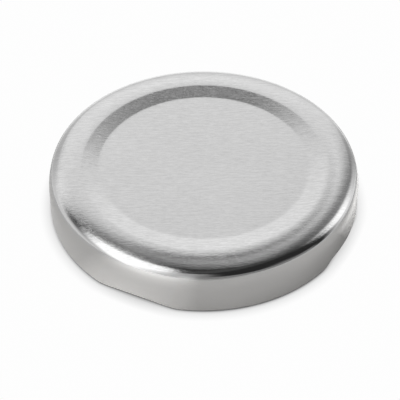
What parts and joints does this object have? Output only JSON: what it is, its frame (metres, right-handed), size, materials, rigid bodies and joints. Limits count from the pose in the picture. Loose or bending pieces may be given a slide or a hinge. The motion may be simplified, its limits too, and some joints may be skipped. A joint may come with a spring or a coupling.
{
  "type": "twist-off lug cap",
  "caption": "Shallow pressed tinplate twist-off cap with a recessed flat panel, a rounded shoulder, a plain skirt curled under and pressed into lugs, and a sealing ring inside.",
  "frame": {"origin": "on the cap's axis, in the plane that its rim rests on", "axes": "+Z along the axis, out of the panel's top face; the lugs are centred 65, 155, 245 and 335 degrees from +X towards +Y"},
  "size_m": [0.0662, 0.0662, 0.0108],
  "materials": {
    "tinplate": "satin",
    "sealing_compound": "satin"
  },
  "bodies": {
    "root": {"shell": "tinplate", "sealing_ring": "sealing_compound"}
  },
  "joints": []
}
